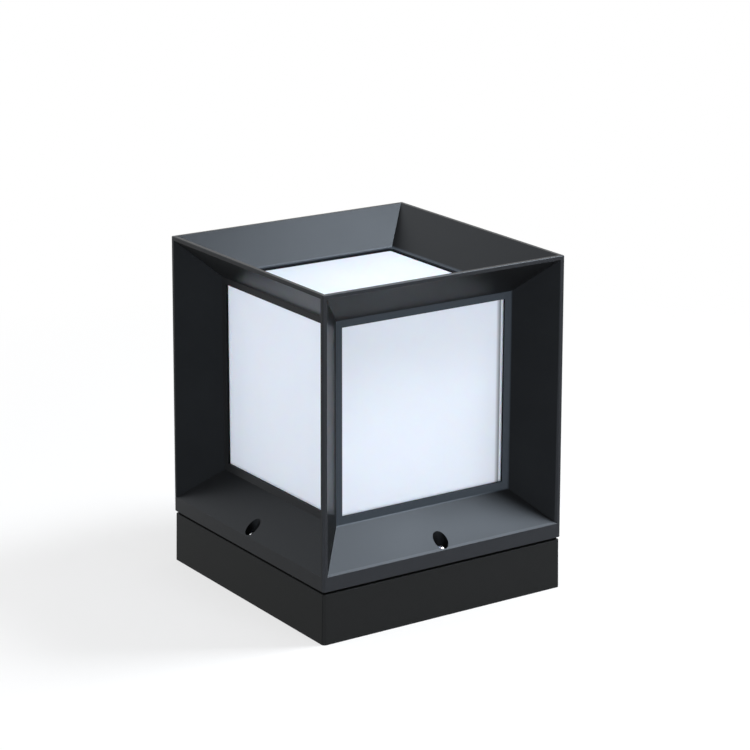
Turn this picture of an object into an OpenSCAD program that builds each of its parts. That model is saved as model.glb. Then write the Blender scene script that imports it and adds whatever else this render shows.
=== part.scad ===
// Square pillar light: bevelled cube frame with an opal diffuser, on a low cast base.
// Millimetres, +Z up, origin at the centre of the base's foot. The front is -Y.

/* [Overall] */
// Width of the base at its foot, both ways
body_w = 200; // [185:1:215]
// Height of the base casting
base_h = 36; // [32:0.5:42]
// Height of the seam between base and frame, filled by the gasket
seam_h = 2; // [0.8:0.1:3]
// Height of the cube frame casting
frame_h = 204.7; // [195:0.1:225]

/* [Castings] */
// Lean of each base side over its height
base_draft = 0.7; // [0.2:0.1:1.2]
// Radius of the base's upright edges at the foot
base_edge_r = 2.6; // [2:0.1:6]
// How far the frame's foot stands in from the base's foot on each side
frame_inset = 0.1; // [0:0.05:0.5]
// Lean of each frame side over its height
frame_draft = 1.3; // [0.5:0.1:1.8]
// Radius of the frame's upright edges at the foot
frame_edge_r = 2; // [1.9:0.1:4]
// Break of the sharp top edges of both castings
edge_break = 0.4; // [0.2:0.1:0.6]

/* [Cube frame] */
// Depth of the side recesses, from the middle of the outer face to the lip
side_recess = 26; // [20:0.5:30]
// Depth of the top recess
top_recess = 25; // [20:0.2:30]
// Width of the outer rim beside each recess
rim_w = 3.1; // [2:0.1:5]
// Width of the outer rim above each side recess
rim_top_w = 2.1; // [1.6:0.1:4]
// Width of the outer rim round the top recess
rim_roof_w = 2.9; // [2:0.1:5]
// Height of the upright band below the bottom slopes
band_h = 10.8; // [10:0.2:14]
// Height of the lips' lower edge above the frame's foot
sill_h = 33.9; // [31:0.1:37]
// Thickness of the fins where they meet the cage's upright edges
fin_root = 1.2; // [0.8:0.1:2]
// Thickness of the fins beside the top recess's floor
fin_root_roof = 2.8; // [0.8:0.1:4]
// Thickness of the fins where they meet the cage's top edges
fin_root_top = 2.3; // [1.4:0.1:3]
// Wall of the inner cage that forms the lips
cage_wall = 1.5; // [1.2:0.1:2.2]
// Wall of the upright band
band_wall = 4.6; // [3.5:0.1:5.5]
// Wall of the bottom slopes
slope_wall = 2.5; // [2:0.1:3.2]

/* [Windows] */
// Lip width beside each side window
lip_side_w = 4.75; // [3:0.05:7]
// Lip width below each side window
lip_bottom_w = 5.7; // [4:0.1:8]
// Lip width above each side window
lip_top_w = 4.8; // [3:0.1:7]
// Lip width round the top window
lip_roof_w = 2.2; // [2:0.1:7]
// Corner radius of the top window
roof_window_r = 4.5; // [2:0.1:8]

/* [Base] */
// Wall of the base at its top
base_wall = 4; // [3:0.1:5]
// Height of the hollow under the floor
underfloor_h = 6; // [5.5:0.1:8]
// Thickness of the floor
floor_t = 3; // [2.5:0.1:4]
// Spacing of the anchor holes, both ways
anchor_spacing = 140; // [130:1:150]
// Radius of the anchor holes
anchor_hole_r = 3.3; // [2.5:0.05:4.5]
// Radius of the anchor bosses
anchor_boss_r = 9; // [7:0.5:11]
// Height of the anchor bosses above the floor
anchor_boss_up = 4; // [2:0.5:8]
// Thickness of the ribs under the floor
rib_t = 3; // [2:0.1:4]
// Gap between the ribs' lower edge and the foot
rib_gap = 1; // [0.6:0.1:2]
// Inner radius of the ring rib round the gland's nut
hub_r = 18; // [17:0.5:22]
// Length of each locating lug
lug_l = 16; // [12:1:30]
// Thickness of each locating lug
lug_t = 2.5; // [2:0.1:4]
// Height of the locating lugs above the base's top
lug_up = 5.3; // [3:0.1:6]
// Distance of the locating lugs from the middle of their side
lug_offset = 48; // [36:1:56]
// How far down the wall a locating lug starts
lug_down = 12; // [8:1:18]

/* [Diffuser] */
// Wall of the diffuser
diffuser_wall = 2.5; // [2:0.1:3.5]
// Radius of the diffuser's outer edges
diffuser_r = 5.5; // [4.5:0.1:8]
// Width of the diffuser's flange beyond its wall
flange_w = 4.6; // [3.4:0.1:6]
// Thickness of the diffuser's flange
flange_t = 2.5; // [2:0.1:3.5]
// Height of the flange's seat above the frame's foot
seat_h = 16; // [15.5:0.1:19]
// Thickness of the seat's wall
seat_wall = 2.5; // [2:0.1:3.2]
// Thickness of the diffuser's gasket
diffuser_gasket_t = 1; // [0.8:0.1:1.5]

/* [Retainer] */
// Thickness of the retaining ring
retainer_t = 1.5; // [1:0.1:2]
// Width of the retaining ring under the flange and beyond it
retainer_w = 18.5; // [16:0.5:22]
// Outer half-width of the retaining ring beyond the flange
retainer_out = 8.5; // [8:0.1:9.5]
// Corner radius of the retaining ring
retainer_r = 5; // [3:0.5:5.5]
// Shank radius of the retainer's screws
retainer_screw_r = 1.5; // [1.25:0.05:1.75]
// Shank length of the retainer's screws
retainer_screw_l = 8; // [6:0.5:9]
// Radius of the bosses that take the retainer's screws
retainer_boss_r = 4; // [3:0.1:4.4]

/* [Frame screws] */
// Distance of the screw axes from the frame's outer face
screw_inset = 6.1; // [6:0.1:7]
// Radius of the recess round each screw head
recess_r = 5.4; // [5.2:0.05:5.5]
// Thickness of the seat under each washer
screw_seat_t = 4.8; // [4.5:0.1:6.5]
// Radius of the bosses that carry the screws
screw_boss_r = 7.5; // [6.8:0.1:8.5]
// Shank radius of the frame screws
screw_r = 2.5; // [2:0.1:3]
// Length of the frame screws under the head
screw_l = 26; // [20:1:30]
// Radius of the frame screws' heads
screw_head_r = 4.75; // [4:0.05:5]
// Height of the frame screws' heads
screw_head_h = 3.7; // [2.6:0.1:4.2]
// Radius of the washers
washer_r = 5; // [4.7:0.1:5.1]
// Thickness of the washers
washer_t = 1; // [0.6:0.1:1.4]

/* [Gaskets] */
// How far the joint gasket's outer edge lies in from the base's top edge
gasket_inset = 1.6; // [0.8:0.1:2.4]

/* [Cable gland] */
// Radius of the largest cable that passes the seal
cable_r = 4.5; // [3:0.1:5]
// Wall of the rubber seal
seal_wall = 3; // [2:0.1:3.2]
// Length of the rubber seal
seal_l = 15; // [10:0.5:16]
// Radius of the gland's passage below the seal
gland_passage_r = 6; // [5.5:0.1:7]
// Wall of the gland's tube at the seal
gland_wall = 2.2; // [1.8:0.1:2.8]
// Size across the flats of the gland's hexagons
gland_flats = 24; // [22:0.5:26]
// Height of the gland's hexagon
gland_hex_h = 6; // [4:0.5:8]
// Height of the cap nut
gland_cap_h = 13; // [11:0.5:14]
// Wall of the cap nut
gland_cap_wall = 1.6; // [1.2:0.1:2]
// Thickness of the cap nut's top
gland_cap_top_t = 2; // [1.5:0.1:3]
// Thickness of the locknut under the floor
locknut_t = 4.5; // [3.5:0.1:5]
// Thickness of the gland's washer
gland_washer_t = 1; // [0.8:0.1:1.5]

/* [Holder bracket] */
// Sheet thickness of the bracket
bracket_t = 1.5; // [1.2:0.1:2]
// Width of the bracket's strip
bracket_w = 30; // [26:1:36]
// Span of the bracket between its legs
bracket_span = 68; // [60:1:74]
// Length of each foot of the bracket
bracket_foot = 18; // [15:1:22]
// Height of the bracket's top above the floor
bracket_h = 36.5; // [34:0.5:38]
// Shank radius of the bracket's and holder's screws
small_screw_r = 2; // [1.5:0.1:2.2]
// Shank length of the bracket's screws
bracket_screw_l = 6; // [5:0.5:7]

/* [Lampholder] */
// Outer radius of the lampholder
holder_r = 21; // [19:0.5:23]
// Height of the lampholder
holder_h = 47; // [44:0.5:50]
// Depth of the lampholder's well
well_h = 28.5; // [27:0.5:31]
// Inner radius of the contact shell
shell_r = 13.2; // [13:0.05:13.6]
// Wall of the contact shell
shell_t = 0.6; // [0.4:0.1:1]
// Length of the contact shell
shell_l = 24; // [18:0.5:26]
// Height of the centre contact
contact_h = 2.5; // [1.5:0.1:3]
// Distance of the holder's screws from its axis
holder_screw_off = 15; // [13:0.5:16]
// Depth of the screw holes in the holder's underside
holder_hole_l = 9; // [7:0.5:12]
// Distance of the holder's terminals from its axis
terminal_off = 11; // [9.5:0.5:12]
// Width of the holder's terminals
terminal_w = 7; // [5:0.5:7.5]
// Height of the holder's terminals
terminal_h = 9; // [6:0.5:10]
// Depth of the holder's terminals above its underside
terminal_up = 3; // [1.5:0.5:4]

/* [Lamp] */
// Radius of the lamp's cap
lamp_cap_r = 13.1; // [12.8:0.05:13.15]
// Wall of the lamp's cap
lamp_cap_wall = 1; // [0.6:0.1:1.2]
// Length of the lamp's cap with its tip
lamp_cap_l = 27; // [26:0.5:28]
// Overall length of the lamp
lamp_l = 108; // [100:1:114]
// Greatest radius of the lamp's dome
lamp_r = 30; // [27:0.5:32]
// Length of the lamp's opaque body
lamp_body_l = 34; // [28:0.5:38]
// Radius of the lamp's centre contact
lamp_tip_r = 4.8; // [3.5:0.1:5.5]

/* [Terminal block] */
// Distance of the terminal block from the axis
block_x = 50; // [46:1:56]
// Spacing of the poles
pole_pitch = 10; // [9.6:0.1:11]
// Length of the block along the wires
block_l = 18; // [17:0.5:20]
// Height of the block
block_h = 18; // [16:0.5:20]
// Height of the wires above the floor
wire_h = 10; // [9:0.5:11]
// Size across the brass clamps
clamp_w = 5; // [4.4:0.1:5.2]
// Shank radius of the block's and clamps' screws
block_screw_r = 1.5; // [1.2:0.05:1.6]
// Height of the heads of the block's fixing screws
block_fix_head_h = 2; // [1.5:0.1:2.5]
// Length of the clamps' screws
clamp_screw_l = 5; // [4:0.5:6]

/* [Earth point] */
// Place of the earth point to the right of the axis
earth_x = 45; // [42:1:52]
// Place of the earth point in front of the axis
earth_y = 38; // [36:1:44]
// Height of the earth boss above the floor
earth_boss_h = 4; // [3:0.5:6]
// Sheet thickness of the ring tag
tag_t = 0.8; // [0.6:0.1:1.2]
// Thickness of the toothed washer
tooth_washer_t = 1; // [0.6:0.1:1.2]

/* [Leads] */
// Radius of the leads' insulation
lead_r = 1.2; // [0.8:0.1:1.3]

/* [Clearances] */
// Gap round the diffuser inside the cage
diffuser_gap = 0.3; // [0.2:0.05:0.8]
// Gap between the locating lugs and the frame's band
lug_gap = 0.5; // [0.3:0.1:1]
// Radial gap of a screw in its thread
thread_gap = 0.05; // [0.03:0.01:0.09]
// Radial gap of a screw in its clearance hole
hole_gap = 0.4; // [0.2:0.05:0.6]
// Gap round inner pieces in their pockets
pocket_gap = 0.1; // [0.05:0.05:0.2]
// Gap between the lamp's tip and the centre contact
tip_gap = 0.3; // [0.1:0.1:0.6]

/* [Hidden] */
$fn = 64;

// Cuts run past the faces that they open by this much
over = 1;
hull_fn = 32;
quarter_turns = [0, 90, 180, 270];
signs = [-1, 1];

// Heights of the castings
foot_z = base_h + seam_h;
total_h = foot_z + frame_h;
floor_z = underfloor_h + floor_t;

// Half-widths of the castings
base_half = body_w / 2;
base_top_half = base_half - base_draft;
base_inner = base_top_half - base_wall;
frame_half = base_half - frame_inset;
frame_mid = frame_half - frame_draft / 2;
frame_top_half = frame_half - frame_draft;
band_inner = frame_half - band_wall;

// The inner cage, its recess floors and its windows
cage_half = frame_mid - side_recess;
cage_inner = cage_half - cage_wall;
cage_top = total_h - top_recess;
recess_half = cage_half - fin_root;
recess_low = foot_z + sill_h;
recess_high = cage_top - fin_root_top;
window_half = recess_half - lip_side_w;
window_low = recess_low + lip_bottom_w;
window_high = recess_high - lip_top_w;
roof_recess_half = cage_half - fin_root_roof;
roof_window_half = roof_recess_half - lip_roof_w;
mouth_half = frame_mid - rim_w;
mouth_low = foot_z + band_h;
mouth_high = total_h - rim_top_w;

// The bottom slope, and its inner face below it
slope_rise = (recess_low - mouth_low) / side_recess;
slope_drop = slope_wall * sqrt(1 + slope_rise * slope_rise);
function slope_under(half) = mouth_low + (frame_mid - half) * slope_rise - slope_drop;

// Diffuser and retainer stack, from the seat down
seat_z = foot_z + seat_h;
flange_top = seat_z - diffuser_gasket_t;
flange_low = flange_top - flange_t;
retainer_low = flange_low - retainer_t;
diffuser_half = cage_inner - diffuser_gap;
diffuser_top = cage_top - cage_wall - diffuser_gap;
flange_half = diffuser_half + flange_w;
retainer_half = flange_half + retainer_out;
retainer_screw_at = flange_half + retainer_out / 2 - 1;
retainer_head_r = 2 * retainer_screw_r;
retainer_head_h = 1.3 * retainer_screw_r;

// Frame screws
screw_at = frame_half - screw_inset;
screw_seat_z = foot_z + screw_seat_t;
screw_head_z = screw_seat_z + washer_t;
screw_tip_z = screw_head_z - screw_l;
screw_places = [for (a = quarter_turns) [screw_at * cos(a), screw_at * sin(a)]];

// Joint gasket
gasket_out = base_top_half - gasket_inset;
gasket_boss_r = screw_boss_r - 0.4;

// Cable gland, from the locknut up
gland_bore_r = cable_r + seal_wall + pocket_gap;
gland_thread_r = gland_bore_r + gland_wall;
gland_hex_r = gland_flats / 2 / cos(30);
gland_hex_z = floor_z + gland_washer_t;
gland_cap_z = gland_hex_z + gland_hex_h + pocket_gap;
gland_top_z = gland_cap_z + gland_cap_h;
gland_neck_r = gland_flats / 2 - gland_cap_wall - pocket_gap;
seal_top_z = gland_top_z - gland_cap_top_t - pocket_gap;
neck_top_z = seal_top_z - 1;

// Holder bracket and lampholder
bracket_top = floor_z + bracket_h;
bracket_leg = bracket_span / 2;
bracket_screw_at = bracket_leg + bracket_foot / 2 + bracket_t / 2;
small_head_r = 1.8 * small_screw_r;
small_head_h = 1.2 * small_screw_r;
holder_z = bracket_top;
holder_top = holder_z + holder_h;
well_floor = holder_top - well_h;
lead_hole_r = lead_r + 1.5;

// Lamp
lamp_z = well_floor + contact_h + tip_gap;
lamp_cap_top = lamp_z + lamp_cap_l;
lamp_tip_h = 1.5;
insulator_h = 4;
sleeve_z = lamp_z + lamp_tip_h + insulator_h;
lamp_top = lamp_z + lamp_l;
dome_z = lamp_cap_top + lamp_body_l;
dome_h = lamp_top - dome_z;
lamp_body_r = lamp_r - 1.2;

// Terminal block and earth point
wire_z = floor_z + wire_h;
pole_places = [-pole_pitch, 0, pole_pitch];
block_w = 3 * pole_pitch;
block_inner_x = block_x - block_l / 2;
clamp_l = block_l - 4;
clamp_screw_off = clamp_l / 2 - 3;
clamp_bore_l = clamp_l / 2 - 1;
lead_gap = 0.05;
earth_seat_z = floor_z + earth_boss_h;
tag_r = 4.2;
tag_barrel_r = lead_r + 0.8;
tag_barrel_z = earth_seat_z + tag_barrel_r + 0.2;
tag_barrel_out = 6;
tag_barrel_l = 6;
tag_bore_l = 4;
tag_barrel_x = earth_x - tag_barrel_out - tag_barrel_l;

// Routes of the leads, as points chosen by hand between their two ends
terminal_z = holder_z + terminal_up;
block_mouth = block_x - clamp_l / 2;
block_end = block_mouth + clamp_bore_l;
live_route = [
    [block_end, pole_pitch, wire_z], [block_mouth, pole_pitch, wire_z],
    [block_mouth - 5, pole_pitch, wire_z], [30, 9, 22], [24, 6, 29], [18, 3, 34.5], [13, 0.5, 39],
    [terminal_off, 0, bracket_top - 3.5], [terminal_off, 0, bracket_top], [terminal_off, 0, terminal_z]
];
neutral_route = [
    [block_end, 0, wire_z], [block_mouth, 0, wire_z], [block_mouth - 5, 0, wire_z],
    [30, -7, 22], [19, -16, 30], [5, -20, 35], [-6, -15, 37], [-11, -6, 38.5], [-11.5, -1.5, 40],
    [-terminal_off, 0, bracket_top - 3], [-terminal_off, 0, bracket_top], [-terminal_off, 0, terminal_z]
];
earth_route = [
    [block_end, -pole_pitch, wire_z], [block_mouth, -pole_pitch, wire_z],
    [block_mouth - 5, -pole_pitch, wire_z], [30, -15, 19], [24, -24, 18], [22, -32, 16.5],
    [24, -37, 15.5], [tag_barrel_x - 4, -earth_y, tag_barrel_z], [tag_barrel_x, -earth_y, tag_barrel_z],
    [tag_barrel_x + tag_bore_l, -earth_y, tag_barrel_z]
];

// Basic shapes

// A block with leaning sides and round upright edges, its sharp top edge broken
module drafted_block(half, draft, h, r) {
    lean = draft * (h - edge_break) / h;
    hull()
        for (sx = signs, sy = signs)
            translate([sx * (half - r), sy * (half - r), 0]) {
                cylinder(h = h - edge_break, r1 = r, r2 = r - lean, $fn = hull_fn);
                translate([0, 0, h - edge_break])
                    cylinder(h = edge_break, r1 = r - lean, r2 = r - lean - edge_break, $fn = hull_fn);
            }
}

// A square block centred on the axis
module square_block(half, z0, z1) {
    translate([-half, -half, z0]) cube([2 * half, 2 * half, z1 - z0]);
}

// A square tube centred on the axis
module square_tube(outer, inner, z0, z1) {
    difference() {
        square_block(outer, z0, z1);
        square_block(inner, z0 - over, z1 + over);
    }
}

// A pyramid stump centred on the axis
module square_stump(half0, half1, z0, z1) {
    translate([0, 0, z0]) rotate([0, 0, 45])
        cylinder(h = z1 - z0, r1 = half0 * sqrt(2), r2 = half1 * sqrt(2), $fn = 4);
}

// A bevelled recess in the front: a flat floor that widens towards the outer face
function blend(a, b, t) = a + (b - a) * t;
module bevel_cut() {
    t = 1 + 3 / side_recess;
    out_y = -blend(cage_half, frame_mid, t);
    half = blend(recess_half, mouth_half, t);
    low = blend(recess_low, mouth_low, t);
    high = blend(recess_high, mouth_high, t);
    polyhedron(
        points = [
            [-recess_half, -cage_half, recess_low], [recess_half, -cage_half, recess_low],
            [recess_half, -cage_half, recess_high], [-recess_half, -cage_half, recess_high],
            [-half, out_y, low], [half, out_y, low], [half, out_y, high], [-half, out_y, high]
        ],
        faces = [[0, 1, 2, 3], [7, 6, 5, 4], [4, 5, 1, 0], [6, 7, 3, 2], [5, 6, 2, 1], [7, 4, 0, 3]]
    );
}

// A screw pointing down from its seat, with a domed head
module screw(shank_r, shank_l, head_r, head_h) {
    slot_depth = head_h * 0.4;
    slot_w = head_r * 0.28;
    translate([0, 0, -shank_l]) cylinder(h = shank_l + 0.01, r = shank_r);
    difference() {
        rotate_extrude()
            polygon([
                [0, 0], [head_r, 0], [head_r, head_h * 0.45], [head_r * 0.93, head_h * 0.72],
                [head_r * 0.7, head_h * 0.93], [head_r * 0.4, head_h], [0, head_h]
            ]);
        for (a = [0, 90])
            rotate([0, 0, a]) translate([-head_r * 0.55, -slot_w / 2, head_h - slot_depth])
                cube([head_r * 1.1, slot_w, slot_depth + over]);
    }
}

// A hexagonal prism
module hexagon(flats, h) {
    cylinder(h = h, r = flats / 2 / cos(30), $fn = 6);
}

// A smooth tube along a route of points, each ring square to the curve there
function spline(p, i, t) =
    let (a = p[max(i - 1, 0)], b = p[i], c = p[i + 1], d = p[min(i + 2, len(p) - 1)])
    0.5 * ((2 * b) + (c - a) * t + (2 * a - 5 * b + 4 * c - d) * t * t + (3 * b - 3 * c + d - a) * t * t * t);
function unit(v) = v / norm(v);
function path_points(p, steps) = [
    for (i = [0:len(p) - 2], s = [0:steps - 1]) spline(p, i, s / steps), p[len(p) - 1]
];
function carried(v, n) = unit(v - n * (v * n));
function side_vectors(dirs, i = 0, v = [0, 0, 1]) =
    i == len(dirs) ? [] : let (s = carried(v, dirs[i])) concat([s], side_vectors(dirs, i + 1, s));
module tube(route, r, steps = 2, sides = 8) {
    pts = path_points(route, steps);
    n = len(pts);
    dirs = [for (i = [0:n - 1]) unit(pts[min(i + 1, n - 1)] - pts[max(i - 1, 0)])];
    ups = side_vectors(dirs);
    ring = [
        for (i = [0:n - 1], k = [0:sides - 1])
            pts[i] + r * (cos(k * 360 / sides) * ups[i] + sin(k * 360 / sides) * cross(dirs[i], ups[i]))
    ];
    walls = [
        for (i = [0:n - 2], k = [0:sides - 1])
            let (a = i * sides + k, b = i * sides + (k + 1) % sides)
            each [[a, a + sides, b], [b, a + sides, b + sides]]
    ];
    first = [for (k = [0:sides - 1]) k];
    last = [for (k = [sides - 1:-1:0]) (n - 1) * sides + k];
    polyhedron(points = ring, faces = concat([first], walls, [last]));
}

// Base casting

module base_pockets() {
    square_block(base_inner, -over, underfloor_h);
    square_block(base_inner, floor_z, base_h + over);
}

module base_ribs() {
    for (a = [0, 90])
        rotate([0, 0, a]) translate([-base_inner - over, -rib_t / 2, rib_gap])
            cube([2 * base_inner + 2 * over, rib_t, underfloor_h]);
    translate([0, 0, rib_gap]) cylinder(h = underfloor_h, r = hub_r + rib_t);
}

// A boss under the floor that takes a screw from above
module blind_boss(r) {
    translate([0, 0, rib_gap]) cylinder(h = underfloor_h, r = r);
}

module base_bosses() {
    for (sx = signs, sy = signs)
        translate([sx * anchor_spacing / 2, sy * anchor_spacing / 2, 0])
            cylinder(h = floor_z + anchor_boss_up, r = anchor_boss_r);
    for (p = screw_places)
        translate([p[0], p[1], 0]) cylinder(h = base_h, r = screw_boss_r);
    for (s = signs) {
        translate([0, s * bracket_screw_at, 0]) blind_boss(2 * small_screw_r + 0.5);
        translate([block_x, s * pole_pitch / 2, 0]) blind_boss(2 * block_screw_r + 1.5);
    }
    translate([earth_x, -earth_y, rib_gap]) cylinder(h = earth_seat_z - rib_gap, r = 5);
}

module locating_lugs() {
    lug_out = band_inner - lug_gap;
    for (a = quarter_turns, x = [-lug_offset, lug_offset])
        rotate([0, 0, a]) translate([x - lug_l / 2, -lug_out, base_h - lug_down]) {
            cube([lug_l, lug_t, lug_down + lug_up]);
            translate([0, lug_out - base_inner - over, 0])
                cube([lug_l, base_inner + over - lug_out + lug_t, lug_down]);
        }
}

module base_holes() {
    for (sx = signs, sy = signs)
        translate([sx * anchor_spacing / 2, sy * anchor_spacing / 2, -over])
            cylinder(h = floor_z + anchor_boss_up + 2 * over, r = anchor_hole_r);
    for (p = screw_places)
        translate([p[0], p[1], screw_tip_z - 2])
            cylinder(h = base_h - screw_tip_z + 2 + over, r = screw_r + thread_gap);
    translate([0, 0, -over]) cylinder(h = floor_z + 2 * over, r = gland_thread_r + pocket_gap);
    translate([0, 0, -over]) cylinder(h = underfloor_h + over, r = hub_r);
    for (s = signs) {
        translate([0, s * bracket_screw_at, rib_gap + 1])
            cylinder(h = floor_z, r = small_screw_r + thread_gap);
        translate([block_x, s * pole_pitch / 2, rib_gap + 1])
            cylinder(h = floor_z, r = block_screw_r + thread_gap);
    }
    translate([earth_x, -earth_y, rib_gap + 1])
        cylinder(h = earth_seat_z, r = small_screw_r + thread_gap);
}

module base_housing() {
    color("#26282b")
        difference() {
            union() {
                difference() {
                    drafted_block(base_half, base_draft, base_h, base_edge_r);
                    difference() {
                        base_pockets();
                        base_ribs();
                        base_bosses();
                    }
                }
                locating_lugs();
            }
            base_holes();
        }
}

module joint_gasket() {
    color("#101010")
        difference() {
            union() {
                square_tube(gasket_out, base_inner + pocket_gap, base_h, foot_z);
                intersection() {
                    square_block(gasket_out, base_h, foot_z);
                    for (p = screw_places)
                        translate([p[0], p[1], base_h]) cylinder(h = seam_h, r = gasket_boss_r);
                }
            }
            for (p = screw_places)
                translate([p[0], p[1], base_h - over])
                    cylinder(h = seam_h + 2 * over, r = screw_r + hole_gap);
        }
}

// Cube frame casting

module frame_hollow() {
    band_top = slope_under(band_inner);
    square_block(band_inner, foot_z - over, band_top);
    square_stump(band_inner, cage_inner, band_top, slope_under(cage_inner));
    square_block(cage_inner, foot_z - over, cage_top - cage_wall);
}

module frame_inner_forms() {
    square_tube(cage_inner + seat_wall, cage_inner, seat_z, recess_low);
    for (p = screw_places)
        translate([p[0], p[1], foot_z]) cylinder(h = sill_h, r = screw_boss_r);
    for (sx = signs, sy = signs)
        translate([sx * retainer_screw_at, sy * retainer_screw_at, flange_low])
            cylinder(h = recess_low - flange_low, r = retainer_boss_r);
}

module frame_windows() {
    for (a = [0, 90])
        rotate([0, 0, a]) translate([-window_half, -cage_half - over, window_low])
            cube([2 * window_half, 2 * (cage_half + over), window_high - window_low]);
    translate([0, 0, cage_top - cage_wall - over])
        linear_extrude(cage_wall + 2 * over)
            hull()
                for (sx = signs, sy = signs)
                    translate([sx * (roof_window_half - roof_window_r), sy * (roof_window_half - roof_window_r)])
                        circle(roof_window_r, $fn = hull_fn);
}

module frame_holes() {
    for (p = screw_places) {
        translate([p[0], p[1], foot_z - over])
            cylinder(h = screw_seat_t + 2 * over, r = screw_r + hole_gap);
        translate([p[0], p[1], screw_seat_z]) cylinder(h = sill_h, r = recess_r);
    }
    for (sx = signs, sy = signs)
        translate([sx * retainer_screw_at, sy * retainer_screw_at, flange_low - over])
            cylinder(h = retainer_screw_l + over, r = retainer_screw_r + thread_gap);
}

module cube_frame() {
    color("#2b2d31")
        difference() {
            translate([0, 0, foot_z]) drafted_block(frame_half, frame_draft, frame_h, frame_edge_r);
            for (a = quarter_turns) rotate([0, 0, a]) bevel_cut();
            roof_recess();
            frame_windows();
            difference() {
                frame_hollow();
                frame_inner_forms();
            }
            frame_holes();
        }
}

// The bevelled recess in the top, carried on past the top face
module roof_recess() {
    t = 1 + 3 / top_recess;
    square_stump(
        roof_recess_half, blend(roof_recess_half, frame_top_half - rim_roof_w, t),
        cage_top, blend(cage_top, total_h, t)
    );
}

module frame_washers() {
    color("#b9bcc0")
        for (p = screw_places)
            translate([p[0], p[1], screw_seat_z])
                difference() {
                    cylinder(h = washer_t, r = washer_r);
                    translate([0, 0, -over]) cylinder(h = washer_t + 2 * over, r = screw_r + thread_gap);
                }
}

module frame_screws() {
    color("#d9dcdf")
        for (p = screw_places)
            translate([p[0], p[1], screw_head_z]) screw(screw_r, screw_l, screw_head_r, screw_head_h);
}

// Diffuser and what holds it

module rounded_box(half, r, z0, z1) {
    hull()
        for (sx = signs, sy = signs)
            translate([sx * (half - r), sy * (half - r), 0]) {
                translate([0, 0, z0]) cylinder(h = z1 - r - z0, r = r, $fn = hull_fn);
                translate([0, 0, z1 - r]) sphere(r, $fn = hull_fn);
            }
}

module diffuser() {
    color("#eef1fb")
        difference() {
            union() {
                rounded_box(diffuser_half, diffuser_r, flange_low, diffuser_top);
                square_block(flange_half, flange_low, flange_top);
            }
            rounded_box(
                diffuser_half - diffuser_wall, diffuser_r - diffuser_wall,
                flange_low - over, diffuser_top - diffuser_wall
            );
        }
}

module diffuser_gasket() {
    color("#d8d8d4")
        square_tube(cage_inner + seat_wall, diffuser_half + pocket_gap, flange_top, seat_z);
}

module diffuser_retainer() {
    color("#c3c6c8")
        difference() {
            translate([0, 0, retainer_low])
                linear_extrude(retainer_t)
                    hull()
                        for (sx = signs, sy = signs)
                            translate([sx * (retainer_half - retainer_r), sy * (retainer_half - retainer_r)])
                                circle(retainer_r, $fn = hull_fn);
            square_block(retainer_half - retainer_w, retainer_low - over, flange_low + over);
            for (sx = signs, sy = signs)
                translate([sx * retainer_screw_at, sy * retainer_screw_at, retainer_low - over])
                    cylinder(h = retainer_t + 2 * over, r = retainer_screw_r + hole_gap / 2);
        }
}

module retainer_screws() {
    color("#c9ccd0")
        for (sx = signs, sy = signs)
            translate([sx * retainer_screw_at, sy * retainer_screw_at, retainer_low])
                rotate([180, 0, 0])
                    screw(retainer_screw_r, retainer_screw_l, retainer_head_r, retainer_head_h);
}

// Cable gland in the floor

module gland_body() {
    color("#1c1c1e")
        difference() {
            union() {
                translate([0, 0, rib_gap]) cylinder(h = gland_hex_z - rib_gap + 0.5, r = gland_thread_r);
                translate([0, 0, gland_hex_z]) hexagon(gland_flats, gland_hex_h);
                translate([0, 0, gland_hex_z]) cylinder(h = neck_top_z - gland_hex_z, r = gland_neck_r);
            }
            translate([0, 0, -over]) cylinder(h = neck_top_z, r = gland_passage_r);
            translate([0, 0, seal_top_z - seal_l]) cylinder(h = seal_l, r = gland_bore_r);
        }
}

module gland_washer() {
    color("#2a2a2a")
        translate([0, 0, floor_z])
            difference() {
                cylinder(h = gland_washer_t, r = gland_flats / 2 + 0.5);
                translate([0, 0, -over])
                    cylinder(h = gland_washer_t + 2 * over, r = gland_thread_r + pocket_gap);
            }
}

module gland_seal() {
    color("#3a3a3c")
        translate([0, 0, seal_top_z - seal_l])
            difference() {
                cylinder(h = seal_l, r = gland_bore_r - pocket_gap);
                translate([0, 0, -over]) cylinder(h = seal_l + 2 * over, r = cable_r);
            }
}

module gland_cap() {
    hex_part = gland_cap_h * 0.6;
    color("#1c1c1e")
        translate([0, 0, gland_cap_z])
            difference() {
                union() {
                    hexagon(gland_flats, hex_part);
                    rotate_extrude()
                        polygon([
                            [0, 0], [gland_flats / 2, 0], [gland_flats / 2, hex_part],
                            [gland_flats / 2 - 0.6, gland_cap_h * 0.8],
                            [gland_flats / 2 - 2.2, gland_cap_h * 0.94],
                            [gland_flats / 2 - 4.2, gland_cap_h], [0, gland_cap_h]
                        ]);
                }
                translate([0, 0, -over])
                    cylinder(h = gland_cap_h - gland_cap_top_t + over, r = gland_neck_r + pocket_gap);
                cylinder(h = gland_cap_h + over, r = cable_r + 1);
            }
}

module gland_locknut() {
    color("#1c1c1e")
        translate([0, 0, underfloor_h - locknut_t])
            difference() {
                hexagon(gland_flats, locknut_t);
                translate([0, 0, -over]) cylinder(h = locknut_t + 2 * over, r = gland_thread_r + pocket_gap);
            }
}

// Bracket and lampholder

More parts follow.
